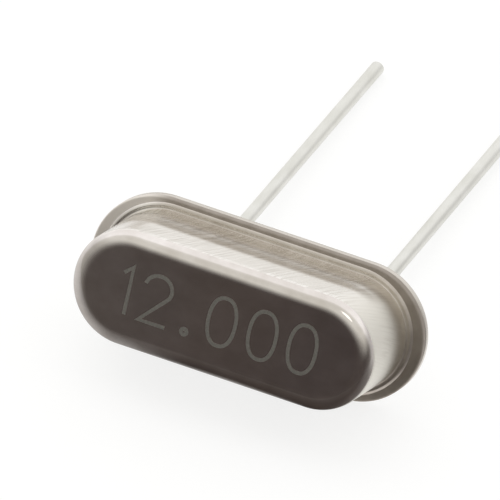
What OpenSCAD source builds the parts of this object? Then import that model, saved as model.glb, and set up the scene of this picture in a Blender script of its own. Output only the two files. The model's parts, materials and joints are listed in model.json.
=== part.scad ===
// Low-profile crystal unit: a drawn cap welded to a base, with two wire leads
// sealed in glass and a quartz strip held on spring clips inside.
// Each piece is drawn about the unit's own axis, with the base's underside at z = 0
// and the cap upwards, and at_rest() then lays the unit on a table.

/* [Cap] */
// Length of the cap over its walls
cap_length = 9.74; // [9.3:0.01:9.9]
// Width of the cap over its walls
cap_width = 3.6; // [3.4:0.01:3.7]
// Height from the base's underside to the top of the cap
unit_height = 3.46; // [3.2:0.01:5]
// Thickness of the drawn sheet
cap_wall = 0.22; // [0.16:0.01:0.26]
// Outside radius of the rim round the cap's top
cap_edge_r = 0.37; // [0.3:0.01:0.5]
// Inside radius where the wall flares out into the flange
cap_flare_r = 0.12; // [0.08:0.01:0.18]
// Width of the unpressed shoulder at the foot of the wall
shoulder_width = 0.2; // [0.12:0.01:0.24]
// Height of that shoulder over the pressed flange
shoulder_height = 0.08; // [0.04:0.01:0.11]

/* [Flange] */
// Length of the welded flange
flange_length = 10.8; // [10.6:0.01:11.2]
// Width of the welded flange
flange_width = 4.27; // [4.22:0.01:4.6]
// Thickness of the cap's layer of the flange
cap_flange_t = 0.24; // [0.18:0.01:0.3]
// Thickness of the base's layer of the flange
base_flange_t = 0.24; // [0.18:0.01:0.4]
// Radius on the outer edges of both layers
flange_edge_r = 0.06; // [0.03:0.01:0.08]

/* [Base] */
// Height of the header block above the base's layer of the flange
header_height = 0.75; // [0.5:0.01:1]
// Clearance from the header block to the inside of the cap
header_gap = 0.08; // [0.03:0.01:0.2]
// Radius round the top of the header block
header_edge_r = 0.15; // [0.08:0.01:0.25]
// Diameter of the glass seals
glass_d = 1.5; // [1.1:0.05:1.8]
// Depth of the glass below the base's underside and the header's top
glass_recess = 0.04; // [0.02:0.01:0.1]

/* [Leads] */
// Distance between the two leads where they leave the base
lead_pitch = 4.88; // [4.7:0.01:5.1]
// Diameter of the leads
lead_d = 0.43; // [0.38:0.01:0.5]
// Length of each lead below the base, along its axis
lead_length = 12.7; // [11:0.1:14]
// Straight length between the base and the bend
lead_bend_start = 1.56; // [1:0.01:2.5]
// Radius of the bend on the lead's axis
lead_bend_r = 6; // [4:0.1:8]
// Angle that the leads are bent through
lead_bend = 23.9; // [18:0.1:30]
// Angle that the bend is turned towards the unit's right end
lead_bend_turn = 9.8; // [0:0.1:15]
// Radius round the cut tips
lead_tip_r = 0.08; // [0.04:0.01:0.12]
// Diameter of the flat head inside the cap
head_d = 0.9; // [0.7:0.01:1.1]
// Thickness of that head
head_t = 0.15; // [0.1:0.01:0.2]
// Height of the head's underside above the header block
head_lift = 0.12; // [0.08:0.01:0.25]

/* [Crystal] */
// Thickness of the quartz strip
blank_t = 0.138; // [0.08:0.002:0.25]
// Clearance from each end of the strip to the cap's wall
blank_end_gap = 0.65; // [0.5:0.01:0.8]
// Clearance from each long side of the strip to the cap's wall
blank_side_gap = 0.63; // [0.5:0.01:0.8]
// Length of the electrode fields
electrode_length = 5; // [4:0.1:5.6]
// Width of the electrode fields
electrode_width = 1.3; // [0.9:0.05:1.5]
// Width of the strips that join the fields to the clips
electrode_tab_width = 0.5; // [0.3:0.05:0.7]
// Thickness of the electrodes
electrode_t = 0.02; // [0.02:0.005:0.04]

/* [Spring clips] */
// Thickness of the clip's sheet
clip_t = 0.1; // [0.08:0.01:0.14]
// Width of the clips
clip_width = 1; // [0.95:0.01:1.2]
// Height of the clip's shelf above the lead's head
clip_rise = 0.7; // [0.4:0.01:0.8]
// Height of the end tab above the shelf
clip_tab_height = 0.35; // [0.25:0.01:0.45]
// Clearance from the end of the strip to the end tab
clip_tab_gap = 0.05; // [0.03:0.01:0.08]
// Radius of the drops of adhesive
drop_r = 0.45; // [0.4:0.01:0.46]
// Height of the drops above the strip
drop_height = 0.15; // [0.08:0.01:0.2]

/* [Hidden] */
$fn = 64;
LEFT = -1;
RIGHT = 1;
// how far a cutting shape runs past what it cuts
cut_past = 1;

// stadium outlines: the straight run between the centres of the two round ends
cap_straight = cap_length - cap_width;
flange_straight = flange_length - flange_width;
cavity_r = cap_width / 2 - cap_wall;
cavity_top = unit_height - cap_wall;
flange_top = base_flange_t + cap_flange_t;
header_top = base_flange_t + header_height;
// the shoulder's round face is part of a circle centred inside the wall
shoulder_r = (pow(shoulder_width, 2) + pow(shoulder_height, 2)) / (2 * shoulder_height);

// levels inside the cap
head_z = header_top + head_lift;
clip_pad_z = head_z + head_t;
shelf_z = clip_pad_z + clip_rise;
shelf_top = shelf_z + clip_t;
blank_z = shelf_top + electrode_t;
blank_top = blank_z + blank_t;
blank_length = cap_length - 2 * cap_wall - 2 * blank_end_gap;
blank_width = 2 * cavity_r - 2 * blank_side_gap;
clip_tab_x = blank_length / 2 + clip_tab_gap;
clip_riser_x = (lead_pitch + head_d) / 2;

// the bent lead, in the plane of its bend: its tail starts this far inside the bend
weld_overlap = 0.001;
bend_path = lead_bend_r * lead_bend * PI / 180;
tail_length = lead_length - lead_bend_start - bend_path;
tip_out = lead_bend_r * (1 - cos(lead_bend)) + (tail_length - lead_tip_r) * sin(lead_bend);
tip_down = lead_bend_start + lead_bend_r * sin(lead_bend)
    + (tail_length - lead_tip_r) * cos(lead_bend);

// at rest the lower long edge of the flange and both tips touch the table: with the
// axis pitched up by p, touch_y * cos(p) - touch_z * sin(p) = touch_drop
tip_y = tip_out * cos(lead_bend_turn);
touch_y = tip_y + flange_width / 2 - flange_edge_r;
touch_z = tip_down + flange_edge_r;
touch_drop = lead_d / 2 - flange_edge_r;
rest_pitch = atan2(touch_y, touch_z) - asin(touch_drop / norm([touch_y, touch_z]));
rest_lift = (flange_width / 2 - flange_edge_r) * cos(rest_pitch)
    - flange_edge_r * sin(rest_pitch) + flange_edge_r;
// front and back of the part as it lies, to centre it over the origin
rest_front = -(cap_width / 2 - cap_edge_r) * sin(rest_pitch)
    - (unit_height - cap_edge_r) * cos(rest_pitch) - cap_edge_r;
rest_back = tip_y * sin(rest_pitch) + tip_down * cos(rest_pitch) + lead_tip_r;

// lays the unit down: cap to the front and up, leads to the back
module at_rest() {
    translate([0, -(rest_front + rest_back) / 2, rest_lift])
        rotate([90 - rest_pitch, 0, 0])
            children();
}

// carries a half outline (x outwards, y up) round a stadium-shaped track
module stadium_sweep(straight) {
    for (turn = [0, 180]) {
        rotate([0, 0, turn]) {
            translate([-straight / 2, 0, 0])
                rotate([90, 0, 90])
                    linear_extrude(straight) children();
            translate([straight / 2, 0, 0])
                rotate([0, 0, -90])
                    rotate_extrude(angle = 180) children();
        }
    }
}

// half outline of a flat plate whose outer edge is rounded below, above or both
module plate_outline(half_width, low, high, low_r, high_r) {
    translate([0, low]) square([half_width - max(low_r, high_r), high - low]);
    translate([0, low + low_r]) square([half_width, high - low - low_r - high_r]);
    if (low_r > 0) translate([half_width - low_r, low + low_r]) circle(low_r);
    if (high_r > 0) translate([half_width - high_r, high - high_r]) circle(high_r);
}

// the cavity under the cap, which flares out where the wall turns into the flange
module cavity_outline() {
    inner_edge_r = cap_edge_r - cap_wall;
    plate_outline(cavity_r, base_flange_t - cut_past, cavity_top, 0, inner_edge_r);
    difference() {
        translate([0, base_flange_t - cut_past])
            square([cavity_r + cap_flare_r, cut_past + cap_flare_r]);
        translate([cavity_r + cap_flare_r, base_flange_t + cap_flare_r]) circle(cap_flare_r);
    }
}

module shoulder_outline() {
    intersection() {
        translate([cap_width / 2, flange_top + shoulder_height - shoulder_r]) circle(shoulder_r);
        translate([cap_width / 2 - cap_wall / 2, flange_top - cap_flange_t / 2])
            square([cap_wall / 2 + shoulder_width, cap_flange_t]);
    }
}

module flange_layer(low, high) {
    stadium_sweep(flange_straight)
        plate_outline(flange_width / 2, low, high, flange_edge_r, flange_edge_r);
}

module cap() {
    color([0.72, 0.70, 0.67]) at_rest() difference() {
        union() {
            stadium_sweep(cap_straight)
                plate_outline(cap_width / 2, base_flange_t + cap_flange_t / 2, unit_height,
                              0, cap_edge_r);
            stadium_sweep(cap_straight) shoulder_outline();
            flange_layer(base_flange_t, flange_top);
        }
        stadium_sweep(cap_straight) cavity_outline();
    }
}

module base() {
    color([0.66, 0.64, 0.60]) at_rest() difference() {
        union() {
            flange_layer(0, base_flange_t);
            stadium_sweep(cap_straight)
                plate_outline(cavity_r - header_gap, base_flange_t / 2, header_top,
                              0, header_edge_r);
        }
        for (side = [LEFT, RIGHT]) {
            translate([side * lead_pitch / 2, 0, -cut_past])
                cylinder(h = header_top + 2 * cut_past, d = glass_d);
        }
    }
}

module glass_seal(side) {
    color([0.16, 0.22, 0.22]) at_rest() translate([side * lead_pitch / 2, 0, 0])
        difference() {
            translate([0, 0, glass_recess])
                cylinder(h = header_top - 2 * glass_recess, d = glass_d);
            translate([0, 0, -cut_past])
                cylinder(h = header_top + 2 * cut_past, d = lead_d);
        }
}

// a straight wire from z = 0 down to its rounded tip
module lead_tail() {
    mirror([0, 0, 1]) rotate_extrude()
        plate_outline(lead_d / 2, 0, tail_length + weld_overlap, 0, lead_tip_r);
}

module lead(side) {
    color([0.78, 0.76, 0.72]) at_rest()
        translate([side * lead_pitch / 2, 0, 0]) rotate([0, 0, -lead_bend_turn]) {
            translate([0, 0, head_z]) cylinder(h = head_t, d = head_d);
            translate([0, 0, -lead_bend_start])
                cylinder(h = lead_bend_start + head_z, d = lead_d);
            translate([0, lead_bend_r, -lead_bend_start]) {
                rotate([-90, 0, 0]) rotate([0, 90, 0])
                    rotate_extrude(angle = lead_bend)
                        translate([lead_bend_r, 0]) circle(d = lead_d);
                rotate([lead_bend, 0, 0])
                    translate([0, -lead_bend_r, weld_overlap]) lead_tail();
            }
        }
}

// a folded strip: a pad on the lead's head, a riser, a shelf and an end tab
module clip_outline() {
    translate([clip_riser_x - head_d, clip_pad_z]) square([head_d, clip_t]);
    translate([clip_riser_x - clip_t, clip_pad_z]) square([clip_t, clip_rise + clip_t]);
    translate([clip_riser_x - clip_t, shelf_z])
        square([clip_tab_x + 2 * clip_t - clip_riser_x, clip_t]);
    translate([clip_tab_x, shelf_z]) square([clip_t, clip_t + clip_tab_height]);
}

module spring_clip(side) {
    color([0.74, 0.70, 0.62]) at_rest() mirror([side == LEFT ? 1 : 0, 0, 0])
        rotate([90, 0, 0]) linear_extrude(clip_width, center = true) clip_outline();
}

module blank_box() {
    translate([-blank_length / 2, -blank_width / 2, blank_z])
        cube([blank_length, blank_width, blank_t]);
}

// a metal field on one face of the strip, with a narrow strip out to one end
module electrode_film(z, side) {
    translate([-electrode_length / 2, -electrode_width / 2, z])
        cube([electrode_length, electrode_width, electrode_t]);
    mirror([side == LEFT ? 1 : 0, 0, 0])
        translate([0, -electrode_tab_width / 2, z])
            cube([blank_length / 2, electrode_tab_width, electrode_t]);
}

module quartz_strip() {
    color([0.86, 0.90, 0.92]) at_rest() blank_box();
}

module electrode_top() {
    color([0.88, 0.88, 0.86]) at_rest() electrode_film(blank_top, RIGHT);
}

module electrode_bottom() {
    color([0.88, 0.88, 0.86]) at_rest() electrode_film(blank_z - electrode_t, LEFT);
}

// a drop that bonds the end of the strip to the shelf and the end tab
module adhesive(side) {
    color([0.55, 0.55, 0.54]) at_rest() difference() {
        mirror([side == LEFT ? 1 : 0, 0, 0]) intersection() {
            translate([blank_length / 2, 0, blank_top + drop_height - drop_r]) sphere(drop_r);
            translate([clip_tab_x - 2 * drop_r, -drop_r, shelf_top])
                cube([2 * drop_r, 2 * drop_r, 2 * drop_r]);
        }
        blank_box();
        electrode_film(blank_top, RIGHT);
        electrode_film(blank_z - electrode_t, LEFT);
    }
}

cap();
base();
glass_seal(LEFT);  // glass_seal_left
glass_seal(RIGHT);  // glass_seal_right
lead(LEFT);  // lead_left
lead(RIGHT);  // lead_right
spring_clip(LEFT);  // spring_clip_left
spring_clip(RIGHT);  // spring_clip_right
quartz_strip();
electrode_top();
electrode_bottom();
adhesive(LEFT);  // adhesive_left
adhesive(RIGHT);  // adhesive_right
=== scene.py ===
"""Looks of the crystal unit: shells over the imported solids, finishes, light and camera."""

import json
import math

import bmesh
import bpy
import numpy as np
from mathutils import Euler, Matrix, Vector


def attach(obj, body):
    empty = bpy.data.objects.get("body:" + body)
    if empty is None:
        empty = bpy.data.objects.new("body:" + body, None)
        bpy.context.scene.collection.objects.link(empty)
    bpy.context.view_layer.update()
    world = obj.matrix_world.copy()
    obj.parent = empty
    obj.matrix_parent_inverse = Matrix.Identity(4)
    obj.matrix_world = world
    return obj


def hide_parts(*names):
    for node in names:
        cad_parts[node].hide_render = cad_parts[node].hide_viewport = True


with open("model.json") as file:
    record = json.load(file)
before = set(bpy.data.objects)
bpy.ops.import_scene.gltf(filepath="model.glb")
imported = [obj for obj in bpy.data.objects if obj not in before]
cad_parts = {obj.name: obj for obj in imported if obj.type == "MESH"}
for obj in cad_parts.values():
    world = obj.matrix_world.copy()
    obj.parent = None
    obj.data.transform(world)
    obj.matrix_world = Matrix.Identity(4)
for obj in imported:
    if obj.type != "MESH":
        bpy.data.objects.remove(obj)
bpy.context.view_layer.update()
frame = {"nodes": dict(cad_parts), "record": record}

MM = 0.001  # a millimetre in the scene's metres
MICRON = 0.001 * MM

# ---------------------------------------------------------------- the unit's own axes
# The unit is built about its own axis (z up through the cap, x along its length) and
# lies on the table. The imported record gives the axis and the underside's centre.

MOUNTS = {m["name"]: m for m in frame["record"]["mounts"]}
UNIT_ORIGIN = np.array(MOUNTS["board_seat"]["pos_m"])
UNIT_Z = np.array(MOUNTS["cap_top"]["axis"])
UNIT_X = np.array([1.0, 0.0, 0.0])
UNIT_Y = np.cross(UNIT_Z, UNIT_X)
UNIT_AXES = np.stack([UNIT_X, UNIT_Y, UNIT_Z])
UNIT_TURN = Euler((math.atan2(-UNIT_Z[1], UNIT_Z[2]), 0.0, 0.0))


def to_world(points_mm):
    """Unit coordinates in millimetres to scene coordinates in metres."""
    return UNIT_ORIGIN + np.asarray(points_mm) @ UNIT_AXES * MM


def node_extent(name):
    """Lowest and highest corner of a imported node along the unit's own axes, in millimetres."""
    mesh = frame["nodes"][name].data
    flat = np.empty(len(mesh.vertices) * 3)
    mesh.vertices.foreach_get("co", flat)
    points = (flat.reshape(-1, 3) - UNIT_ORIGIN) @ UNIT_AXES.T / MM
    return points.min(axis=0), points.max(axis=0)


# ---------------------------------------------------------------- sizes, in millimetres

base_low, base_high = node_extent("base")
cap_low, cap_high = node_extent("cap")
seal_low, seal_high = node_extent("glass_seal_right")

FLANGE_LENGTH = base_high[0] - base_low[0]
FLANGE_WIDTH = base_high[1] - base_low[1]
UNIT_HEIGHT = cap_high[2]
HEADER_TOP = base_high[2]
LAYER_SPLIT = cap_low[2]
GLASS_R = (seal_high[0] - seal_low[0]) / 2
GLASS_LOW, GLASS_HIGH = seal_low[2], seal_high[2]
LEAD_X = (seal_low[0] + seal_high[0]) / 2
LEAD_R = MOUNTS["lead_right"]["dims"]["r_mm"]

CAP_LENGTH = 9.74
CAP_WIDTH = 3.6
CAP_WALL = 0.22          # the sheet's thickness
CAP_EDGE_R = 0.37        # how far the rim drops from the flat top to the wall
RIM_EASE = 1.6           # above 1, the rim bends ever tighter towards the wall
CAP_FLARE_R = 0.12       # inside, where the wall turns out into the flange
CAP_FLANGE_T = 0.24
SHOULDER_WIDTH = 0.2     # the low ridge between the wall's foot and the flange's ring
SHOULDER_HEIGHT = 0.08
FOOT_GROOVE = 0.025      # the tight hollow between the wall and that ridge
GROOVE_IN = 0.05         # is full this far from the wall
GROOVE_OUT = 0.13        # and gone this far from it
WAIST = 0.045            # how far the long walls are drawn in
WAIST_HIGH, WAIST_LOW = 2.2, 1.4  # heights between which that grows to its full depth
FLARE_HIGH = 0.82        # height from which the wall comes out again to its foot
WAIST_END = 0.75         # the waist is gone where the outward direction's sin is this or less
FLANGE_EDGE_R = 0.06
HEADER_GAP = 0.08        # between the header block and the cap's wall
HEADER_EDGE_R = 0.15
DRILL_PAST = 1.0         # how far a drill reaches past both faces of the base
HEAD_R = 0.45
HEAD_T = 0.15
HEAD_LIFT = 0.12         # the lead's head stands this far off the header block
CLIMB_WIRE = 0.09        # how far the glass climbs the wire
CLIMB_BORE = 0.035       # and the bore
CLIMB_REACH = 0.09       # and over what distance that fades
LEAD_LENGTH = 12.7       # from the underside to the tip, along the wire
BEND_START = 1.56        # below the underside
BEND_R = 6.0
TIP_R = 0.08

CAP_STRAIGHT = CAP_LENGTH - CAP_WIDTH
FLANGE_STRAIGHT = FLANGE_LENGTH - FLANGE_WIDTH
FLANGE_TOP = LAYER_SPLIT + CAP_FLANGE_T

ARC_STEPS = 96           # facets round each half-round end
STRAIGHT_STEPS = 24      # and along each straight side
ROUND_STEPS = 96         # facets round a turned piece
WIRE_STEPS = 64          # and round a wire
EDGE_STEPS = 8           # facets over a rounded outer edge
CORNER_STEPS = 6         # and over a small inner one
RIM_STEPS = 28
RIM_SPLIT = 25           # the row where the wall's finish takes over from the top's
WALL_ROWS = 36
FOOT_ZONE = 0.3          # over this height at its foot the wall has rows of its own
FOOT_ROWS = 14
HOLLOW_ROWS = 9
RIDGE_ROWS = 15
GLASS_ROWS = 25
STEM_ROWS = 12           # the wire's rows above its bend
BEND_ROWS = 33           # round it
TAIL_ROWS = 25           # beyond it
TIP_ROWS = 9             # and over the rounded tip
SUPPORT = 0.02           # how close a supporting ring lies to the start of a curve
SUPPORT_MOST = 0.3       # but no further in than this share of a short stretch

# ---------------------------------------------------------------- colours and nodes


def linear(hex_colour):
    """An sRGB hex colour as linear RGBA."""
    srgb = np.array([int(hex_colour[i:i + 2], 16) for i in (1, 3, 5)]) / 255
    low, high = srgb / 12.92, ((srgb + 0.055) / 1.055) ** 2.4
    return (*np.where(srgb <= 0.04045, low, high), 1.0)


def grey(level):
    """A plain grey of that linear level."""
    return (level, level, level, 1.0)


MIX_SHARE, MIX_FIRST, MIX_SECOND = 0, 6, 7  # a colour mix's own sockets among its inputs
MIX_RESULT = 2                              # and its own among the outputs


def add(tree, kind, inputs=(), stops=(), **settings):
    """Adds a node. Inputs are values or links, in the order of its sockets or by a socket's
    name or number, and a node among them stands for its first output. Stops are a colour
    ramp's positions with their colours, and settings are the node's own options."""
    made = tree.nodes.new(kind)
    for name, value in settings.items():
        setattr(made, name, value)
    pairs = inputs.items() if isinstance(inputs, dict) else enumerate(inputs)
    for socket, value in pairs:
        source = value.outputs[0] if isinstance(value, bpy.types.Node) else value
        if isinstance(source, bpy.types.NodeSocket):
            tree.links.new(source, made.inputs[socket])
        else:
            made.inputs[socket].default_value = source
    if stops:
        elements = made.color_ramp.elements
        while len(elements) < len(stops):
            elements.new(0.5)
        for element, (position, colour) in zip(elements, stops):
            element.position = position
            element.color = colour
    return made


def start_material(name):
    """A new material and its empty node tree."""
    material = bpy.data.materials.new(name)
    material.use_nodes = True
    material.node_tree.nodes.clear()
    return material, material.node_tree


def end_material(tree, inputs):
    """Closes a node tree with a surface that takes these inputs."""
    surface = add(tree, "ShaderNodeBsdfPrincipled", inputs)
    add(tree, "ShaderNodeOutputMaterial", {"Surface": surface})


def unit_place(tree, cell_mm):
    """Object coordinates turned into the unit's axes, one pattern cell being cell_mm."""
    return add(tree, "ShaderNodeMapping",
               {"Vector": add(tree, "ShaderNodeTexCoord").outputs["Object"],
                "Location": tuple(UNIT_ORIGIN), "Rotation": tuple(UNIT_TURN),
                "Scale": tuple(np.array(cell_mm) * MM)},
               vector_type="TEXTURE")


def uneven(tree, cell_mm, detail=2.0):
    """An uneven pattern whose lumps measure about cell_mm along the unit's x, y and z."""
    return add(tree, "ShaderNodeTexNoise",
               {"Vector": unit_place(tree, cell_mm), "Scale": 1.0, "Detail": detail})


def along_unit(tree):
    """The place along the unit's length, in mm from its middle."""
    return add(tree, "ShaderNodeSeparateXYZ", (unit_place(tree, (1, 1, 1)),))


def duller(tree, rough):
    """A roughness that grows by DULL_MORE round the cap's right end."""
    more = add(tree, "ShaderNodeMapRange", (along_unit(tree), *DULL_END, 0.0, DULL_MORE),
               interpolation_type="SMOOTHSTEP")
    return add(tree, "ShaderNodeMath", (rough, more))


# ---------------------------------------------------------------- materials

SPREAD = (0.3, 0.7)        # an uneven pattern's values lie mostly between these
NARROW = (0.35, 0.65)      # and a flaky one turns from dark to light between these
DULL_END = (2.8, 4.6)      # the cap grows duller between these places, mm to the right
DULL_MORE = 0.2            # by this much roughness
# painted light: the right end's wall is also tinted towards a warmer white, for the soft light
# that falls on it
PAINTED_END_LIGHT = 0.4            # and this share of a warmer white
# painted highlight: the flange is painted lighter at its left end, the side the key light falls
# on
LEFT_END_HIGHLIGHT = (-3.1, -4.1)  # the flange is bright again beyond these places, mm
DRAW_LINE = (0.08, 2.0)    # width and length of a drawing line, mm
DRAW_LEAN = 22.0           # degrees from straight down
DRAW_DEPTH = 0.035         # microns
DRAW_SPREAD = 0.85         # how much further the lines spread a reflection sideways
DRAW_ROUGH = (0.22, 0.28)  # from the smoothest place between the lines to the roughest
STREAK = (0.35, 0.60)      # a line shows where the pattern is under these
PATCH = (0.40, 0.60)       # and most where the mottle is over these
PATCH_LEAST = 0.35         # elsewhere with this share of its strength
CLOUD = 0.85               # how dark the cloudy places in glass are
GLASS_IOR = 1.52


def nickel(name, light, dark, rough, mottle_mm, line_mm, line_depth_um, left_highlight=None, dull=False):
    """Nickel plate on steel. Mottle shifts the colour a little from place to place, and
    lines are the marks the tools left, which also vary the gloss. An optional lighter colour
    is painted over the left end as a painted highlight, and dull plate loses gloss at the right
    one."""
    material, tree = start_material(name)
    mottle = uneven(tree, mottle_mm, detail=4.0)
    lines = uneven(tree, line_mm, detail=3.0)
    tint = add(tree, "ShaderNodeValToRGB", (mottle,),
               [(SPREAD[0], linear(dark)), (SPREAD[1], linear(light))])
    # painted highlight: the left end takes the lighter colour
    if left_highlight:
        share = add(tree, "ShaderNodeMapRange", (along_unit(tree), *LEFT_END_HIGHLIGHT, 0.0, 1.0),
                    interpolation_type="SMOOTHSTEP")
        tint = add(tree, "ShaderNodeMix",
                   {MIX_SHARE: share, MIX_FIRST: tint, MIX_SECOND: linear(left_highlight)},
                   data_type="RGBA").outputs[MIX_RESULT]
    rough = add(tree, "ShaderNodeMapRange", (lines, *SPREAD, *rough))
    relief = add(tree, "ShaderNodeBump",
                 {"Height": lines, "Strength": 1.0, "Distance": line_depth_um * MICRON})
    end_material(tree, {"Base Color": tint, "Metallic": 1.0, "Normal": relief,
                        "Roughness": duller(tree, rough) if dull else rough})
    return material


def cap_wall_plate():
    """Bright nickel on drawn steel. The die left fine lines down the wall, which lean a
    little: they spread a reflection sideways, and a few show as faint streaks. They are
    wider than real ones, so that they show, and they are laid out on the shell's own map,
    so that they run evenly round the ends."""
    material, tree = start_material("cap_wall_plate")
    mottle = uneven(tree, (0.9, 0.7, 1.2), detail=4.0)
    laid = add(tree, "ShaderNodeMapping",
               {"Vector": add(tree, "ShaderNodeUVMap", uv_map="around"),
                "Rotation": (0.0, 0.0, math.radians(DRAW_LEAN)), "Scale": (*DRAW_LINE, 1.0)},
               vector_type="TEXTURE")
    lines = add(tree, "ShaderNodeTexNoise", {"Vector": laid, "Scale": 1.0, "Detail": 2.0},
                noise_dimensions="2D")
    clean = add(tree, "ShaderNodeValToRGB", (mottle,),
                [(SPREAD[0], linear("#EFEBE5")), (SPREAD[1], linear("#F6F3EE"))])
    streaks = add(tree, "ShaderNodeMapRange", (lines, *STREAK, 1.0, 0.0),
                  interpolation_type="SMOOTHSTEP")
    patches = add(tree, "ShaderNodeMapRange", (mottle, *PATCH, PATCH_LEAST, 1.0),
                  interpolation_type="SMOOTHSTEP")
    scored = add(tree, "ShaderNodeMath", (streaks, patches), operation="MULTIPLY")
    streaked = add(tree, "ShaderNodeMix",
                   {MIX_SHARE: scored, MIX_FIRST: clean, MIX_SECOND: linear("#DED9D2")},
                   data_type="RGBA").outputs[MIX_RESULT]
    # Painted light: over the right end the wall's colour goes towards a warmer white, for the
    # soft light that falls on that end.
    dull = add(tree, "ShaderNodeMapRange", (along_unit(tree), *DULL_END, 0.0, PAINTED_END_LIGHT),
               interpolation_type="SMOOTHSTEP")
    tint = add(tree, "ShaderNodeMix",
               {MIX_SHARE: dull, MIX_FIRST: streaked, MIX_SECOND: linear("#EFECDF")},
               data_type="RGBA").outputs[MIX_RESULT]
    rough = add(tree, "ShaderNodeMapRange", (lines, *SPREAD, *DRAW_ROUGH))
    relief = add(tree, "ShaderNodeBump",
                 {"Height": lines, "Strength": 1.0, "Distance": DRAW_DEPTH * MICRON})
    around = add(tree, "ShaderNodeTangent", direction_type="UV_MAP", uv_map="around")
    end_material(tree, {"Base Color": tint, "Metallic": 1.0, "Roughness": duller(tree, rough),
                        "Anisotropic": DRAW_SPREAD, "Tangent": around, "Normal": relief})
    return material


def glass_material(name, colour, rough, alpha=1.0):
    """Fused sealing glass or quartz: smooth and dark or clear, with faint cloudiness."""
    material, tree = start_material(name)
    cloudy = tuple(np.array(linear(colour)) * (CLOUD, CLOUD, CLOUD, 1.0))
    tint = add(tree, "ShaderNodeValToRGB", (uneven(tree, (0.8, 0.8, 0.8)),),
               [(SPREAD[0], cloudy), (SPREAD[1], linear(colour))])
    end_material(tree, {"Base Color": tint, "Roughness": rough, "IOR": GLASS_IOR,
                        "Alpha": alpha})
    return material


def flaky_metal(name, dark, light, flake_mm, turns, metallic, rough):
    """Metal that is broken up into flakes or pits about flake_mm across, so that it looks
    dull. Turns are the pattern's values between which it goes from dark to light."""
    material, tree = start_material(name)
    tint = add(tree, "ShaderNodeValToRGB", (uneven(tree, (flake_mm, flake_mm, flake_mm)),),
               [(turns[0], linear(dark)), (turns[1], linear(light))])
    end_material(tree, {"Base Color": tint, "Metallic": metallic, "Roughness": rough})
    return material


# The cap's flat top and rim are ironed against the punch: nearly a mirror, with a faint
# mottle.
TOP_FINISH = nickel("cap_top_plate", light="#F1EBE7", dark="#DFD8D2", rough=(0.08, 0.11),
                    mottle_mm=(0.7, 0.5, 1.0), line_mm=(0.5, 0.4, 0.6), line_depth_um=0.25)
WALL_FINISH = cap_wall_plate()
# The welding electrode pressed and warmed the flange's top, so it is duller and browner.
# Its left end is painted lighter, a painted highlight on the lit side.
RING_FINISH = nickel("weld_ring_plate", light="#B4ABA2", dark="#A49B91", rough=(0.56, 0.64),
                     mottle_mm=(0.6, 0.5, 0.5), line_mm=(0.2, 0.2, 0.2), line_depth_um=0.25,
                     left_highlight="#F0EAE3")
# The ridge at the wall's foot and the inside keep more of the plate's gloss.
# Its left end is painted lighter too, a painted highlight on the lit side.
FLANGE_FINISH = nickel("flange_plate", light="#D3CBC2", dark="#C5BCB2", rough=(0.16, 0.24),
                       mottle_mm=(0.6, 0.5, 0.5), line_mm=(0.15, 0.15, 0.3),
                       line_depth_um=0.25, left_highlight="#EBE6DF", dull=True)
# The base's underside is satin plate with a light stamped grain.
BASE_FINISH = nickel("base_plate", light="#D9D3CB", dark="#D3CDC4", rough=(0.25, 0.29),
                     mottle_mm=(1.5, 1.5, 1.5), line_mm=(0.6, 0.6, 0.6), line_depth_um=0.3)
# Tinned wire: pale and soft, with faint lines along its length.
LEAD_FINISH = nickel("tinned_wire", light="#EAE9E4", dark="#DEDDD6", rough=(0.34, 0.42),
                     mottle_mm=(0.4, 0.6, 1.2), line_mm=(0.1, 0.1, 1.5), line_depth_um=0.15)
# Nickel silver strip for the clips, hidden inside the cap: yellowish and satin.
CLIP_FINISH = nickel("nickel_silver", light="#D9D0BF", dark="#C8BEAB", rough=(0.25, 0.40),
                     mottle_mm=(0.5, 0.5, 0.5), line_mm=(0.4, 0.05, 0.05), line_depth_um=0.8)
# Evaporated silver on the quartz: the whitest of the metals, and smooth.
ELECTRODE_FINISH = nickel("silver_film", light="#F4F3F0", dark="#E6E5E1", rough=(0.12, 0.20),
                          mottle_mm=(0.4, 0.4, 0.4), line_mm=(0.08, 0.08, 0.08),
                          line_depth_um=0.1)
# Sealing glass is fused and nearly black, and lapped quartz is clear and matt.
SEAL_FINISH = glass_material("sealing_glass", "#2C3A39", rough=0.08)
QUARTZ_FINISH = glass_material("lapped_quartz", "#DCE4E8", rough=0.25, alpha=0.5)
# Cured silver-filled epoxy: dull grey with coarse flakes.
ADHESIVE_FINISH = flaky_metal("silver_epoxy", dark="#7E7D7A", light="#A9A8A4", flake_mm=0.03,
                              turns=NARROW, metallic=0.4, rough=0.55)
# Laser-etched digits: the plate is roughened to a dull light grey.
MARK_FINISH = flaky_metal("laser_mark", dark="#8C8A85", light="#A09D97", flake_mm=0.04,
                          turns=SPREAD, metallic=0.75, rough=0.5)

# ---------------------------------------------------------------- meshes from grids


CREASE = 35.0        # faces that meet at more than this angle, in degrees, keep a sharp edge
GLASS_CREASE = 60.0  # on glass, whose edges are rounder
WIRE_CREASE = 50.0   # and on the wire with its rounded tip
MERGE = 0.0001 * MM  # points closer than this become one


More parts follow.
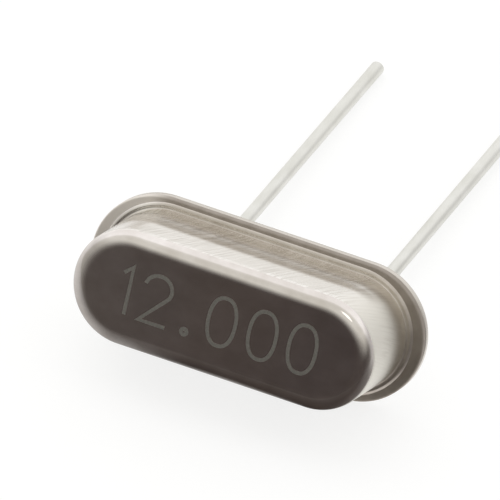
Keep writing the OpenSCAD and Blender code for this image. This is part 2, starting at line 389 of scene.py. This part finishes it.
def make_piece(name, points_mm, faces, materials, face_slots=None, crease_deg=CREASE,
               layout=None):
    """A mesh piece from unit coordinates: doubles merged, normals outwards, smooth with
    creases where faces meet at more than crease_deg. Layout is its own UV map, in mm."""
    mesh = bpy.data.meshes.new(name)
    mesh.from_pydata(to_world(points_mm), [], faces)
    if layout is not None:
        mesh.uv_layers.new(name="around").data.foreach_set("uv", np.ravel(layout))
    for material in materials:
        mesh.materials.append(material)
    if face_slots is not None:
        mesh.polygons.foreach_set("material_index", np.asarray(face_slots, dtype=np.int32))
    edit = bmesh.new()
    edit.from_mesh(mesh)
    bmesh.ops.remove_doubles(edit, verts=edit.verts, dist=MERGE)
    bmesh.ops.recalc_face_normals(edit, faces=edit.faces)
    edit.to_mesh(mesh)
    edit.free()
    mesh.shade_smooth()
    mesh.set_sharp_from_angle(angle=math.radians(crease_deg))
    piece = bpy.data.objects.new(name, mesh)
    bpy.context.scene.collection.objects.link(piece)
    return piece


def grid_faces(rows, columns, close_rows=False, close_columns=False):
    """Four-cornered faces over a grid of points numbered row by row."""
    r = np.arange(rows if close_rows else rows - 1)
    c = np.arange(columns if close_columns else columns - 1)
    r, c = np.meshgrid(r, c, indexing="ij")
    r1, c1 = (r + 1) % rows, (c + 1) % columns
    corners = [r * columns + c, r * columns + c1, r1 * columns + c1, r1 * columns + c]
    return np.stack(corners, axis=-1).reshape(-1, 4)


def stadium_track():
    """One turn round a stadium as three arrays: the sign that places the end's centre
    (-1 to 1 along the straight), and the cosine and sine of the outward direction."""
    arc = np.linspace(-90, 90, ARC_STEPS + 1)
    run = np.linspace(1, -1, STRAIGHT_STEPS + 1)[1:-1]
    place = np.concatenate([np.ones(len(arc)), run, -np.ones(len(arc)), -run])
    angle = np.radians(np.concatenate([arc, np.full(len(run), 90.0), arc + 180,
                                       np.full(len(run), 270.0)]))
    return place, np.cos(angle), np.sin(angle)


def stadium_shell(profile):
    """Carries a profile round the stadium. A profile row is (distance out, height,
    straight length), and the point at turn u is
    (place * straight / 2 + out * cos, out * sin, height)."""
    place, cos, sin = stadium_track()
    out, high, straight = profile.T[:, :, None]
    x = place * straight / 2 + out * cos
    return np.stack([x, out * sin, np.broadcast_to(high, x.shape)], axis=-1)


def shell_layout(points):
    """A UV map for a shell, in mm: u runs round the shell and v along its profile."""
    rows, columns = points.shape[:2]
    widest = points[np.argmax(np.abs(points[:, 0, 0]))]
    u = np.cumsum(np.linalg.norm(np.diff(widest, axis=0, append=widest[:1]), axis=1))
    v = np.cumsum(np.linalg.norm(np.diff(points[:, 0], axis=0, prepend=points[:1, 0]), axis=1))
    u = np.concatenate([[0], u])
    r, c = np.meshgrid(np.arange(rows - 1), np.arange(columns), indexing="ij")
    corners = [(u[c], v[r]), (u[c + 1], v[r]), (u[c + 1], v[r + 1]), (u[c], v[r + 1])]
    return np.stack([np.stack(pair, axis=-1) for pair in corners], axis=-2)


def profile_rows(out, high, straight):
    """Profile rows from their distances out, heights and straight lengths. Any of the
    three may be the same for all rows."""
    return np.column_stack(np.broadcast_arrays(out, high, straight))


def arc_points(centre, radius, start, end, steps, straight):
    """Profile rows along a circular arc, centre + radius * (cos a, sin a), from start to
    end degrees, 0 being outwards and 90 being up."""
    a = np.radians(np.linspace(start, end, steps + 1))
    return profile_rows(centre[0] + radius * np.cos(a), centre[1] + radius * np.sin(a),
                        straight)


def flat_points(start, end):
    """Profile rows at shares t of the way from start to end: close to both and halfway."""
    start, end = np.array(start, dtype=float), np.array(end, dtype=float)
    near = min(SUPPORT / np.hypot(*(end - start)[:2]), SUPPORT_MOST)
    t = np.array([[near], [0.5], [1 - near]])
    return start + (end - start) * t


# ---------------------------------------------------------------- cap

CAP_FINISHES = [TOP_FINISH, WALL_FINISH, RING_FINISH, FLANGE_FINISH]
TOP, WALL, RING, PLATE = range(len(CAP_FINISHES))


def wall_rows(foot_high):
    """The upright wall, from the rim down to the foot, where its rows lie closer."""
    top = UNIT_HEIGHT - CAP_EDGE_R
    near = foot_high + FOOT_ZONE
    high = np.concatenate([np.linspace(top - SUPPORT, near, WALL_ROWS),
                           np.linspace(near - SUPPORT, foot_high + SUPPORT, FOOT_ROWS)])
    return profile_rows(CAP_WIDTH / 2, high, CAP_STRAIGHT)


def waist(high, sin):
    """How far the long walls are drawn in at a height: a smooth step by WAIST between two
    heights, which flares out again to the foot as a parabola. It fades round the ends,
    as the outward direction's share sin across the unit falls."""
    share = np.clip((WAIST_HIGH - high) / (WAIST_HIGH - WAIST_LOW), 0, 1)
    flare = np.clip((FLARE_HIGH - high) / (FLARE_HIGH - high.min()), 0, 1) ** 2
    side = np.clip((np.abs(sin) - WAIST_END) / (1 - WAIST_END), 0, 1)
    return WAIST * share * share * (3 - 2 * share) * (1 - flare) * side * side * (3 - 2 * side)


def foot_rows():
    """The wall's foot: a tight hollow, then a low round ridge down to the pressed ring. It
    is the shoulder's circle, which is centred inside the wall, less a groove that drops
    FOOT_GROOVE within GROOVE_IN and comes back by GROOVE_OUT."""
    radius = (SHOULDER_WIDTH ** 2 + SHOULDER_HEIGHT ** 2) / (2 * SHOULDER_HEIGHT)
    hollow = GROOVE_IN * (1 - np.cos(np.radians(np.linspace(0, 90, HOLLOW_ROWS))))
    ridge = np.linspace(hollow[-1], SHOULDER_WIDTH, RIDGE_ROWS)[1:]
    out = np.concatenate([hollow, ridge])
    circle = FLANGE_TOP + SHOULDER_HEIGHT - radius + np.sqrt(radius ** 2 - out ** 2)
    into = np.sqrt(np.clip(1 - (1 - out / GROOVE_IN) ** 2, 0, 1))
    back = np.clip((out - hollow[-1]) / (GROOVE_OUT - hollow[-1]), 0, 1)
    groove = np.where(out < hollow[-1], into, 1 - back * back * (3 - 2 * back))
    return profile_rows(CAP_WIDTH / 2 + out, circle - FOOT_GROOVE * groove, CAP_STRAIGHT)


def rim_rows():
    """The rim, which bends ever tighter from the flat top into the wall: its slope at share
    s of its length is 90 degrees * s ** RIM_EASE."""
    slope = np.pi / 2 * ((np.arange(RIM_STEPS) + 0.5) / RIM_STEPS) ** RIM_EASE
    run = np.concatenate([[0], np.cumsum(np.cos(slope))])
    fall = np.concatenate([[0], np.cumsum(np.sin(slope))])
    unit = CAP_EDGE_R / fall[-1]
    return profile_rows(CAP_WIDTH / 2 - (run[-1] - run) * unit, UNIT_HEIGHT - fall * unit,
                        CAP_STRAIGHT)


def cap_profile():
    """The drawn sheet's section as a closed run of (rows, finish) stretches, from the
    middle of the top, down the outside, round the flange and up the inside."""
    s, f = CAP_STRAIGHT, FLANGE_STRAIGHT
    cavity = CAP_WIDTH / 2 - CAP_WALL
    ceiling = UNIT_HEIGHT - CAP_WALL
    inner_r = CAP_EDGE_R - CAP_WALL
    edge, edge_r = FLANGE_WIDTH / 2 - FLANGE_EDGE_R, FLANGE_EDGE_R
    flare = (cavity + CAP_FLARE_R, LAYER_SPLIT + CAP_FLARE_R)
    rim, foot = rim_rows(), foot_rows()
    return [
        ([(0, UNIT_HEIGHT, s)], TOP),
        (flat_points((0, UNIT_HEIGHT, s), rim[0]), TOP),
        (rim[:RIM_SPLIT], TOP),
        (rim[RIM_SPLIT:], WALL),
        (wall_rows(foot[0, 1]), WALL),
        (foot, PLATE),
        (flat_points(foot[-1], (edge, FLANGE_TOP, f)), RING),
        (arc_points((edge, FLANGE_TOP - edge_r), edge_r, 90, 0, EDGE_STEPS, f), RING),
        (arc_points((edge, LAYER_SPLIT + edge_r), edge_r, 0, -90, EDGE_STEPS, f), RING),
        (flat_points((edge, LAYER_SPLIT, f), (flare[0], LAYER_SPLIT, s)), PLATE),
        (arc_points(flare, CAP_FLARE_R, -90, -180, CORNER_STEPS, s), PLATE),
        (flat_points((cavity, flare[1], s), (cavity, ceiling - inner_r, s)), PLATE),
        (arc_points((cavity - inner_r, ceiling - inner_r), inner_r, 0, 90, CORNER_STEPS, s),
         PLATE),
        ([(0, ceiling, s)], PLATE),
    ]


def build_cap():
    """The whole cap as one closed shell, its faces finished stretch by stretch."""
    stretches = cap_profile()
    rows = np.vstack([part for part, _ in stretches])
    finish = np.repeat([slot for _, slot in stretches], [len(part) for part, _ in stretches])
    points = stadium_shell(rows)
    wall = finish == WALL
    sin = stadium_track()[2]
    points[wall, :, 1] -= np.sign(sin) * waist(points[wall, :, 2], sin)
    faces = grid_faces(*points.shape[:2], close_columns=True)
    slots = np.repeat(finish[1:], points.shape[1])
    return make_piece("cap_shell", points.reshape(-1, 3), faces.tolist(), CAP_FINISHES, slots,
                      layout=shell_layout(points))


# ---------------------------------------------------------------- base and glass


def base_profile():
    """The base's section from the middle of its underside, round the flange and up over
    the header block."""
    s, f = CAP_STRAIGHT, FLANGE_STRAIGHT
    edge, edge_r = FLANGE_WIDTH / 2 - FLANGE_EDGE_R, FLANGE_EDGE_R
    header, corner_r = CAP_WIDTH / 2 - CAP_WALL - HEADER_GAP, HEADER_EDGE_R
    return np.vstack([
        (0, 0, s),
        flat_points((0, 0, s), (edge, 0, f)),
        arc_points((edge, edge_r), edge_r, -90, 0, EDGE_STEPS, f),
        arc_points((edge, LAYER_SPLIT - edge_r), edge_r, 0, 90, EDGE_STEPS, f),
        flat_points((edge, LAYER_SPLIT, f), (header, LAYER_SPLIT, s)),
        (header, LAYER_SPLIT, s),
        flat_points((header, LAYER_SPLIT, s), (header, HEADER_TOP - corner_r, s)),
        arc_points((header - corner_r, HEADER_TOP - corner_r), corner_r, 0, 90, CORNER_STEPS, s),
        (0, HEADER_TOP, s),
    ])


def lathe(name, profile, centre_x, materials, crease_deg=CREASE):
    """Turns a closed profile of (radius, height) round an axis at centre_x: the point at
    turn a is (centre + radius * cos a, radius * sin a, height)."""
    radius, high = np.asarray(profile, dtype=float).T[:, :, None]
    a = np.linspace(0, 2 * np.pi, ROUND_STEPS, endpoint=False)
    x = centre_x + radius * np.cos(a)
    points = np.stack([x, radius * np.sin(a), np.broadcast_to(high, x.shape)], axis=-1)
    faces = grid_faces(len(profile), ROUND_STEPS, close_rows=True, close_columns=True)
    return make_piece(name, points.reshape(-1, 3), faces.tolist(), materials,
                      crease_deg=crease_deg)


def build_base():
    """The base as one closed shell, with a bore through it for each glass seal."""
    points = stadium_shell(base_profile())
    faces = grid_faces(*points.shape[:2], close_columns=True)
    base = make_piece("base_shell", points.reshape(-1, 3), faces.tolist(), [BASE_FINISH])
    for side in (-1, 1):
        low, high = -DRILL_PAST, HEADER_TOP + DRILL_PAST
        drill = lathe("drill", [(0, low), (GLASS_R, low), (GLASS_R, high), (0, high)],
                      side * LEAD_X, [BASE_FINISH])
        cut = base.modifiers.new("bore", "BOOLEAN")
        cut.operation, cut.object, cut.solver = "DIFFERENCE", drill, "EXACT"
        bpy.context.view_layer.objects.active = base
        with bpy.context.temp_override(object=base, active_object=base):
            bpy.ops.object.modifier_apply(modifier=cut.name)
        bpy.data.objects.remove(drill)
    base.data.set_sharp_from_angle(angle=math.radians(CREASE))
    return base


def build_glass(side, name):
    """A glass ring whose ends climb the bore and the wire like a fused meniscus: the end
    at radius r lies at flat - climb * exp(-(distance to the nearer wall) / reach)."""
    r = np.linspace(LEAD_R, GLASS_R, GLASS_ROWS)
    climb = (CLIMB_WIRE * np.exp(-(r - LEAD_R) / CLIMB_REACH)
             + CLIMB_BORE * np.exp(-(GLASS_R - r) / CLIMB_REACH))
    under = np.column_stack([r, GLASS_LOW - climb])
    over = np.column_stack([r, GLASS_HIGH + climb])[::-1]
    return lathe(name, np.vstack([under, over]), side * LEAD_X, [SEAL_FINISH],
                 crease_deg=GLASS_CREASE)


# ---------------------------------------------------------------- leads


def lead_path():
    """The wire's centre line in the plane of its bend, from the top of its head to the tip:
    straight down, round an arc, and straight on. For each row it gives the distance across,
    the height, the lean from straight down and the wire's radius, and then the turn of the
    bend's plane from the unit's y towards its x."""
    direction = UNIT_AXES @ np.array(MOUNTS["lead_right"]["axis"])
    bend = math.acos(-direction[2])
    turn = math.atan2(direction[0], direction[1])
    head_low = HEADER_TOP + HEAD_LIFT
    tail = LEAD_LENGTH - BEND_START - BEND_R * bend
    stem = np.linspace(head_low - SUPPORT / 2, -BEND_START, STEM_ROWS)
    down = np.concatenate([[head_low + HEAD_T, head_low, head_low], stem])
    a = np.linspace(0, bend, BEND_ROWS)[1:]
    tip = np.radians(np.linspace(0, 90, TIP_ROWS)[1:])
    t = np.concatenate([np.linspace(0, tail - TIP_R, TAIL_ROWS)[1:],
                        tail - TIP_R + TIP_R * np.sin(tip)])
    across = np.concatenate([np.zeros(len(down)), BEND_R * (1 - np.cos(a)),
                             BEND_R * (1 - np.cos(bend)) + t * np.sin(bend)])
    up = np.concatenate([down, -BEND_START - BEND_R * np.sin(a),
                         -BEND_START - BEND_R * np.sin(bend) - t * np.cos(bend)])
    lean = np.concatenate([np.zeros(len(down)), a, np.full(len(t), bend)])
    radius = np.full(len(up), LEAD_R)
    radius[:2] = HEAD_R  # the head's two edges
    radius[-len(tip):] = LEAD_R - TIP_R + TIP_R * np.cos(tip)
    return across, up, lean, radius, turn


def build_lead(side, name):
    """The wire as a tube: the point at path s and turn a is centre(s) plus radius(s)
    times (cos a * sideways + sin a * normal(s)), closed with a disc at each end."""
    across, up, lean, radius, turn = lead_path()
    a = np.linspace(0, 2 * np.pi, WIRE_STEPS, endpoint=False)
    sideways = np.array([np.cos(turn), -np.sin(turn), 0.0])
    outwards = np.array([np.sin(turn), np.cos(turn), 0.0])
    upwards = np.array([0.0, 0.0, 1.0])
    normal = np.cos(lean)[:, None] * outwards + np.sin(lean)[:, None] * upwards
    centre = across[:, None] * outwards + up[:, None] * upwards
    centre = centre + np.array([side * LEAD_X, 0, 0])
    ring = np.cos(a)[:, None] * sideways + np.sin(a)[:, None] * normal[:, None, :]
    points = centre[:, None, :] + radius[:, None, None] * ring
    faces = grid_faces(*points.shape[:2], close_columns=True).tolist()
    count = points.shape[0] * points.shape[1]
    faces += [list(range(WIRE_STEPS)), list(range(count - WIRE_STEPS, count))]
    return make_piece(name, points.reshape(-1, 3), faces, [LEAD_FINISH],
                      crease_deg=WIRE_CREASE)


# ---------------------------------------------------------------- marking
# Plain digits, etched on the cap's flat top in single strokes of even width.

DIGIT_HEIGHT = 1.62
DIGIT_WIDTH = 0.98
STROKE = 0.115
STROKE_RISE = 0.003  # the etched metal stands this far up
STROKE_ROOT = 0.01   # and its underside lies this far down in the plate
ZERO_POWER = 2.3     # a zero is a little squarer than an ellipse, whose power is 2
FLAG_REACH = 0.26    # the short stroke of the 1 reaches this far to the left
FLAG_DROP = 0.24     # and down
BOWL_DEPTH = 0.95    # half the depth of the bowl of the 2, as a share of half its width
BOWL_START = 170.0   # the bowl runs from this turn, in degrees
BOWL_END = -28.0     # to this one
BOWL_STEPS = 36
ZERO_STEPS = 72
POINT_R = 0.09
POINT_STEPS = 24
MITRE_LIMIT = 0.5    # a mitre reaches at most 1 / this times half the stroke's width
MARKS = [("1", -2.98), ("2", -2.08), (".", -1.03), ("0", 0.06), ("0", 1.38), ("0", 2.68)]


def oval(centre, half_width, half_height, steps, start=0.0, end=360.0, power=2.0):
    """Points of a superellipse |x/a|^p + |y/b|^p = 1, from start to end degrees."""
    a = np.radians(np.linspace(start, end, steps + 1))
    c, s = np.cos(a), np.sin(a)
    x = np.sign(c) * np.abs(c) ** (2 / power) * half_width
    y = np.sign(s) * np.abs(s) ** (2 / power) * half_height
    return np.stack([centre[0] + x, centre[1] + y], axis=-1)


def digit_strokes(mark):
    """The strokes of one mark about its own centre, as (points, closed)."""
    w, h = (DIGIT_WIDTH - STROKE) / 2, (DIGIT_HEIGHT - STROKE) / 2
    if mark == "0":
        return [(oval((0, 0), w, h, ZERO_STEPS, power=ZERO_POWER)[:-1], True)]
    if mark == "1":
        return [(np.array([(-FLAG_REACH, h - FLAG_DROP), (0.0, h), (0.0, -h)]), False)]
    if mark == "2":
        depth = w * BOWL_DEPTH
        bowl = oval((0, h - depth), w, depth, BOWL_STEPS, BOWL_START, BOWL_END)
        return [(np.concatenate([bowl, [(-w, -h), (w, -h)]]), False)]
    return [(oval((0, -h + POINT_R), POINT_R, POINT_R, POINT_STEPS)[:-1], True)]


def ribbon(points, closed):
    """Sweeps a flat bar along a stroke: the corner (s, z) of the bar's section lies at
    point + s * side, at height z. Side is STROKE / 2 long and square to the mean of the
    neighbouring directions, and it is longer where the stroke turns, as in a mitre."""
    points = np.asarray(points, dtype=float)
    ahead = np.roll(points, -1, axis=0) - points
    ahead /= np.linalg.norm(ahead, axis=1, keepdims=True)
    behind = np.roll(ahead, 1, axis=0)
    if not closed:
        ahead[-1], behind[0] = behind[-1], ahead[0]
    mean = ahead + behind
    mean /= np.linalg.norm(mean, axis=1, keepdims=True)
    widen = 1 / np.maximum((mean * ahead).sum(axis=1), MITRE_LIMIT)
    side = np.stack([-mean[:, 1], mean[:, 0]], axis=-1) * widen[:, None] * STROKE / 2
    low, high = UNIT_HEIGHT - STROKE_ROOT, UNIT_HEIGHT + STROKE_RISE
    section = [(-1, low), (-1, high), (1, high), (1, low)]
    rings = [np.column_stack([points + side * s, np.full(len(points), z)]) for s, z in section]
    grid = np.stack(rings, axis=1)
    corners = len(section)
    faces = grid_faces(len(points), corners, close_rows=closed, close_columns=True)
    if not closed:
        first = np.arange(corners)
        faces = np.vstack([faces, first, first + corners * (len(points) - 1)])
    return grid.reshape(-1, 3), faces


def build_marking():
    """All the digits as one piece: marks with their places along the cap."""
    points, faces, count = [], [], 0
    for mark, x in MARKS:
        for stroke, closed in digit_strokes(mark):
            verts, quads = ribbon(stroke + np.array([x, 0.0]), closed)
            points.append(verts)
            faces.append(count + quads)
            count += len(verts)
    return make_piece("etched_digits", np.vstack(points), np.vstack(faces).tolist(),
                      [MARK_FINISH])


# ---------------------------------------------------------------- assembly


def place(piece, slot, *nodes):
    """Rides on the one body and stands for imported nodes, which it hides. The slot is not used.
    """
    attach(piece, "root")
    if nodes:
        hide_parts(*nodes)


def finish_node(name, material):
    """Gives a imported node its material."""
    mesh = frame["nodes"][name].data
    mesh.materials.clear()
    mesh.materials.append(material)


place(build_cap(), "plated_cap", "cap")
place(build_base(), "plated_base", "base")
place(build_marking(), "plated_cap")
for side, word in ((-1, "left"), (1, "right")):
    place(build_glass(side, f"glass_{word}"), "seal_glass", f"glass_seal_{word}")
    place(build_lead(side, f"wire_{word}"), "lead_wire", f"lead_{word}")
    finish_node(f"spring_clip_{word}", CLIP_FINISH)
    finish_node(f"adhesive_{word}", ADHESIVE_FINISH)
finish_node("quartz_strip", QUARTZ_FINISH)
for face in ("top", "bottom"):
    finish_node(f"electrode_{face}", ELECTRODE_FINISH)

# ---------------------------------------------------------------- floor, cards and light

TABLE_REACH = 500.0      # mm from the scene's centre to the table's edges
FLOOR_LIFT = 0.78        # how much the table is lifted towards white for the eye
CARD_ROWS = 49
CARD_COLUMNS = 65
CARD_CENTRE = 4.0        # the cards' fan is centred this far in front of the unit, mm
CARD_LIFT = 0.3          # and its flat part lies this high over the table, mm
CARD_MOTTLE = (4, 4, 4)  # mm
CARD_ROUGH = 0.9
CLEAR_FROM = 45.0        # the fan draws back to the right of this turn, degrees
CLEAR_OVER = 30.0        # over this many degrees
SKY_FRONT = (0.72, 0.715, 0.67, 1.0)
SKY_MIDDLE = (0.78, 0.775, 0.74, 1.0)
SKY_TOP = grey(1.03)
SKY_STOPS = (0.28, 0.38, 0.48)  # where those three lie, from 0 in front to 1 behind
WHITE = grey(1.0)
LAMP_COLOUR = (1.0, 0.995, 0.985)
KEY_STRENGTH = 0.4
KEY_SIZE = 60.0          # degrees across
FRONT_STRENGTH = 0.04
FRONT_SIZE = 14.0        # degrees across
CAMERA_AIM = (0.1594, -5.757, 4.9992)  # mm
CAMERA_DISTANCE = 622.2  # mm
CAMERA_AZIMUTH = 23.03   # degrees from the front towards the right
CAMERA_RISE = 43.04      # degrees up from the table
CAMERA_ROLL = 2.4        # degrees round the line of sight
SENSOR_WIDTH = 36.0      # mm
LENS = 1512.0            # mm
CLIP_NEAR, CLIP_FAR = 0.05, 5.0  # metres


def stage_plane(name, points, faces, material):
    """A stage mesh in scene coordinates."""
    mesh = bpy.data.meshes.new(name)
    mesh.from_pydata(points, [], faces)
    mesh.materials.append(material)
    mesh.shade_smooth()
    made = bpy.data.objects.new(name, mesh)
    bpy.context.scene.collection.objects.link(made)
    return made


def seen_by_eye_or_gloss(tree):
    """1 for camera, mirror and glass rays, 0 for the rays that light the object."""
    path = add(tree, "ShaderNodeLightPath").outputs
    seen = add(tree, "ShaderNodeMath", (path["Is Camera Ray"], path["Is Glossy Ray"]),
               operation="MAXIMUM")
    return add(tree, "ShaderNodeMath", (seen, path["Is Transmission Ray"]), operation="MAXIMUM")


def build_floor():
    """A wide white table top. What the eye and the metal see of it is lifted to white."""
    material, tree = start_material("white_table")
    paint = add(tree, "ShaderNodeBsdfDiffuse", {"Color": linear("#868685")})
    lifted = add(tree, "ShaderNodeMath", (seen_by_eye_or_gloss(tree), FLOOR_LIFT),
                 operation="MULTIPLY")
    lift = add(tree, "ShaderNodeEmission", {"Color": WHITE, "Strength": lifted})
    both = add(tree, "ShaderNodeAddShader", (paint, lift))
    add(tree, "ShaderNodeOutputMaterial", {"Surface": both})
    corners = np.array([(-1, -1, 0), (1, -1, 0), (1, 1, 0), (-1, 1, 0)]) * TABLE_REACH * MM
    stage_plane("table", corners, [(0, 1, 2, 3)], material)


def build_card(name, shades, turns, start, end, foot, height, clear=0.0):
    """A fan-shaped card on the table, which only mirror rays see. At turn a, from straight
    in front towards the right, and distance r it stands at (r sin a, -centre - r cos a,
    height(r)): flat, then rising as the square of the way beyond its foot. Turns pair
    degrees with how much the card covers there; start and end give where it has gone and
    where it is full. On the right it leaves a clear strip of table."""
    material, tree = start_material(name)
    tint = add(tree, "ShaderNodeValToRGB", (uneven(tree, CARD_MOTTLE),),
               [(SPREAD[0], linear(shades[0])), (SPREAD[1], linear(shades[1]))])
    across = add(tree, "ShaderNodeSeparateXYZ",
                 (add(tree, "ShaderNodeUVMap", uv_map="card"),)).outputs
    first, last = turns[0][0], turns[-1][0]
    cover = add(tree, "ShaderNodeValToRGB",
                (add(tree, "ShaderNodeMapRange", (across["X"], first, last, 0.0, 1.0)),),
                [((turn - first) / (last - first), grey(share)) for turn, share in turns])
    for gone, full in (start, end):
        fade = add(tree, "ShaderNodeMapRange", (across["Y"], gone, full, 0.0, 1.0),
                   interpolation_type="SMOOTHSTEP")
        cover = add(tree, "ShaderNodeMath", (cover, fade), operation="MULTIPLY")
    end_material(tree, {"Base Color": tint, "Roughness": CARD_ROUGH, "Alpha": cover})
    r = np.linspace(start[0], end[0], CARD_ROWS)[:, None]
    a = np.linspace(first, last, CARD_COLUMNS)[None, :]
    moved = clear * np.clip((a - CLEAR_FROM) / CLEAR_OVER, 0, 1)
    beyond = max(end[0] - foot, 1.0)  # a flat card has none, and the 1 can be divided by
    rise = np.clip((r - foot) / beyond, 0, 1) ** 2
    x, y = r * np.sin(np.radians(a)), -CARD_CENTRE - r * np.cos(np.radians(a))
    z = np.broadcast_to(CARD_LIFT + height * rise, x.shape)
    points = np.stack([x, y, z], axis=-1).reshape(-1, 3) * MM
    faces = grid_faces(CARD_ROWS, CARD_COLUMNS)
    card = stage_plane(name, points, faces.tolist(), material)
    layer = card.data.uv_layers.new(name="card")
    place_uv = np.stack(np.broadcast_arrays(a, r - moved), axis=-1).reshape(-1, 2)
    layer.data.foreach_set("uv", place_uv[faces.reshape(-1)].reshape(-1))
    card.visible_camera = card.visible_diffuse = card.visible_shadow = False


def build_world():
    """An even studio: a soft ceiling that is a little darker towards the front, and plain
    white behind everything the eye sees."""
    world = bpy.data.worlds.new("studio")
    bpy.context.scene.world = world
    world.use_nodes = True
    tree = world.node_tree
    tree.nodes.clear()
    ray = add(tree, "ShaderNodeTexCoord").outputs["Generated"]
    behind = add(tree, "ShaderNodeSeparateXYZ", (ray,)).outputs["Y"]
    sky = add(tree, "ShaderNodeValToRGB",
              (add(tree, "ShaderNodeMapRange", (behind, -1.0, 1.0, 0.0, 1.0)),),
              list(zip(SKY_STOPS, (SKY_FRONT, SKY_MIDDLE, SKY_TOP))))
    camera = add(tree, "ShaderNodeLightPath").outputs["Is Camera Ray"]
    seen = add(tree, "ShaderNodeMix", {MIX_SHARE: camera, MIX_FIRST: sky, MIX_SECOND: WHITE},
               data_type="RGBA").outputs[MIX_RESULT]
    back = add(tree, "ShaderNodeBackground", {"Color": seen, "Strength": 1.0})
    add(tree, "ShaderNodeOutputWorld", {"Surface": back})


def build_sun(name, strength, size_deg, towards, mirrored):
    """A soft lamp far away that shines towards a direction."""
    light = bpy.data.lights.new(name, "SUN")
    light.energy = strength
    light.angle = math.radians(size_deg)
    light.color = LAMP_COLOUR
    lamp = bpy.data.objects.new(name, light)
    lamp.visible_glossy = mirrored
    lamp.rotation_euler = Vector(towards).to_track_quat("-Z", "Y").to_euler()
    bpy.context.scene.collection.objects.link(lamp)


def build_camera():
    """A very long lens from the front right and above, a little rolled, which keeps the
    view nearly parallel."""
    azimuth, rise = math.radians(CAMERA_AZIMUTH), math.radians(CAMERA_RISE)
    back = Vector((math.sin(azimuth) * math.cos(rise), -math.cos(azimuth) * math.cos(rise),
                   math.sin(rise)))
    data = bpy.data.cameras.new("camera")
    data.sensor_width = SENSOR_WIDTH
    data.lens = LENS
    data.clip_start = CLIP_NEAR
    data.clip_end = CLIP_FAR
    camera = bpy.data.objects.new("camera", data)
    camera.location = Vector(CAMERA_AIM) * MM + back * (CAMERA_DISTANCE * MM)
    turn = (-back).to_track_quat("-Z", "Y")
    roll = Euler((0, 0, math.radians(CAMERA_ROLL)))
    camera.rotation_mode = "QUATERNION"
    camera.rotation_quaternion = turn @ roll.to_quaternion()
    bpy.context.scene.collection.objects.link(camera)
    bpy.context.scene.camera = camera


build_floor()
build_card("dark_card", ("#3B3332", "#463D39"),
           turns=((-125, 0.0), (-85, 0.3), (-50, 0.55), (-23, 0.95), (-15, 1.0), (38, 1.0),
                  (65, 0.9), (95, 0.55), (130, 0.35), (165, 0.0)),
           start=(1.3, 5.4), end=(75.0, 52.0), foot=35.0, height=62.0, clear=4.5)
build_card("grey_card", ("#A89F94", "#B2A99F"),
           turns=((150, 0.0), (172, 1.0), (228, 1.0), (250, 0.0)),
           start=(12.0, 17.0), end=(28.0, 21.0), foot=28.0, height=0.0)
build_world()
build_sun("key", KEY_STRENGTH, KEY_SIZE, towards=(0.45, -0.35, -1.0), mirrored=False)
build_sun("front_lamp", FRONT_STRENGTH, FRONT_SIZE, towards=(-0.12, 0.57, -0.81), mirrored=True)
build_camera()
bpy.context.scene.view_settings.view_transform = "Standard"
